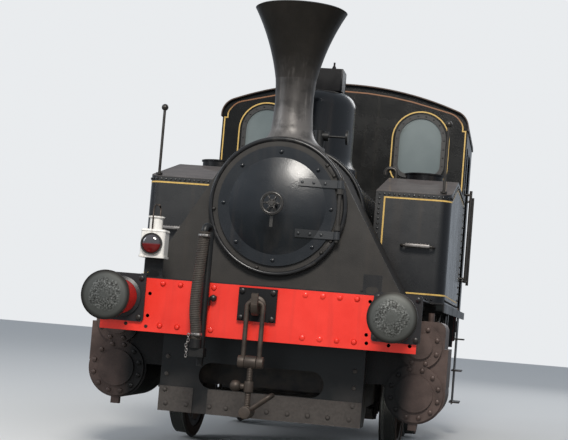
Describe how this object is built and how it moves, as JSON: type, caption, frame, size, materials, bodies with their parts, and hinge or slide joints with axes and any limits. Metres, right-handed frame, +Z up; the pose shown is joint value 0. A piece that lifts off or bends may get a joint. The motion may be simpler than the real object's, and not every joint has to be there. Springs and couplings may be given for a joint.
{
  "type": "steam locomotive",
  "caption": "Small side-tank steam locomotive with tall flared chimney, outside cylinders, coupled spoked wheels, red buffer beams and an arched cab.",
  "frame": {"origin": "on the floor at the level of the wheel flange tips, midway between the buffer faces and the wheels of an axle", "axes": "+X to the right of someone who faces the front, -Y out of the front buffers, +Z up"},
  "size_m": [2.58, 7.2, 3.3219],
  "materials": {
    "black_paint": "gloss",
    "red_paint": "gloss",
    "white_paint": "gloss",
    "smokebox_black": "satin",
    "worn_steel": "worn",
    "rusty_steel": "rough",
    "oily_iron": "oily",
    "window_glass": "gloss",
    "wood": "worn",
    "hose_rubber": "matte"
  },
  "bodies": {
    "engine": {"frame_plate_left": "black_paint", "frame_plate_right": "black_paint", "frame_stretchers": "black_paint", "guard_plate": "black_paint", "front_buffer_beam": "red_paint", "rear_buffer_beam": "red_paint", "running_plate": "black_paint", "buffer_housings": "red_paint", "buffer_plungers": "worn_steel", "draw_hooks": "worn_steel", "smokebox": "smokebox_black", "door_hinge": "smokebox_black", "chimney": "smokebox_black", "boiler": "black_paint", "dome": "black_paint", "safety_valve_box": "black_paint", "blower_valve": "black_paint", "side_tank_left": "black_paint", "side_tank_right": "black_paint", "filler_necks": "black_paint", "cab_front_sheet": "black_paint", "cab_rear_sheet": "black_paint", "window_frames": "black_paint", "window_glass": "window_glass", "cab_side_left": "black_paint", "cab_side_right": "black_paint", "cab_roof": "black_paint", "cab_floor": "wood", "cab_controls": "worn_steel", "coal_bunker": "black_paint", "cab_steps": "black_paint", "handrails": "worn_steel", "cylinders": "oily_iron", "cylinder_covers": "oily_iron", "guide_bars": "worn_steel", "crossheads": "worn_steel", "connecting_rods": "worn_steel", "motion_brackets": "black_paint", "valve_gear": "worn_steel", "return_cranks": "worn_steel", "axleboxes": "black_paint", "leaf_springs": "black_paint", "brake_gear": "black_paint", "lamp": "white_paint", "lamp_brackets": "black_paint", "brake_pipe": "black_paint", "brake_hose": "hose_rubber"},
    "wheelset_rear": {"rear_axle": "worn_steel", "rear_wheel_centres": "black_paint", "rear_tyres": "worn_steel"},
    "wheelset_front": {"front_axle": "worn_steel", "front_wheel_centres": "black_paint", "front_tyres": "worn_steel"},
    "coupling_rod_left": {"coupling_rod_left": "worn_steel"},
    "coupling_rod_right": {"coupling_rod_right": "worn_steel"},
    "smokebox_door": {"smokebox_door": "smokebox_black"},
    "tank_lid_left": {"tank_lid_left": "black_paint"},
    "tank_lid_right": {"tank_lid_right": "black_paint"},
    "screw_coupling_front": {"screw_coupling_front": "rusty_steel"},
    "screw_coupling_rear": {"screw_coupling_rear": "rusty_steel"}
  },
  "joints": [
    {"name": "wheelset_rear_spin", "type": "hinge", "parent": "engine", "child": "wheelset_rear", "pos_m": [0, 0.95, 0.568], "axis": [1, 0, 0], "continuous": true},
    {"name": "wheelset_front_spin", "type": "hinge", "parent": "engine", "child": "wheelset_front", "pos_m": [0, -1.25, 0.568], "axis": [1, 0, 0], "continuous": true},
    {"name": "coupling_rod_left_swing", "type": "hinge", "parent": "wheelset_rear", "child": "coupling_rod_left", "pos_m": [-0.955, 0.74, 0.568], "axis": [1, 0, 0], "continuous": true},
    {"name": "coupling_rod_right_swing", "type": "hinge", "parent": "wheelset_rear", "child": "coupling_rod_right", "pos_m": [0.955, 0.95, 0.358], "axis": [1, 0, 0], "continuous": true},
    {"name": "smokebox_door_hinge", "type": "hinge", "parent": "engine", "child": "smokebox_door", "pos_m": [0.446, -2.7, 1.812], "axis": [0, 0, 1], "range_deg": [0, 140]},
    {"name": "tank_lid_left_hinge", "type": "hinge", "parent": "engine", "child": "tank_lid_left", "pos_m": [-0.89, -0.275, 2.331], "axis": [-1, 0, 0], "range_deg": [0, 100]},
    {"name": "tank_lid_right_hinge", "type": "hinge", "parent": "engine", "child": "tank_lid_right", "pos_m": [0.89, -0.275, 2.331], "axis": [-1, 0, 0], "range_deg": [0, 100]},
    {"name": "screw_coupling_front_swing", "type": "hinge", "parent": "engine", "child": "screw_coupling_front", "pos_m": [0, -3.242, 1.11], "axis": [-1, 0, 0], "range_deg": [-5, 100]},
    {"name": "screw_coupling_rear_swing", "type": "hinge", "parent": "engine", "child": "screw_coupling_rear", "pos_m": [0, 3.242, 1.11], "axis": [1, 0, 0], "range_deg": [-5, 100]}
  ],
  "couplings": [
    {"joint": "wheelset_front_spin", "follows": "wheelset_rear_spin", "ratio": 1},
    {"joint": "coupling_rod_left_swing", "follows": "wheelset_rear_spin", "ratio": -1},
    {"joint": "coupling_rod_right_swing", "follows": "wheelset_rear_spin", "ratio": -1}
  ]
}
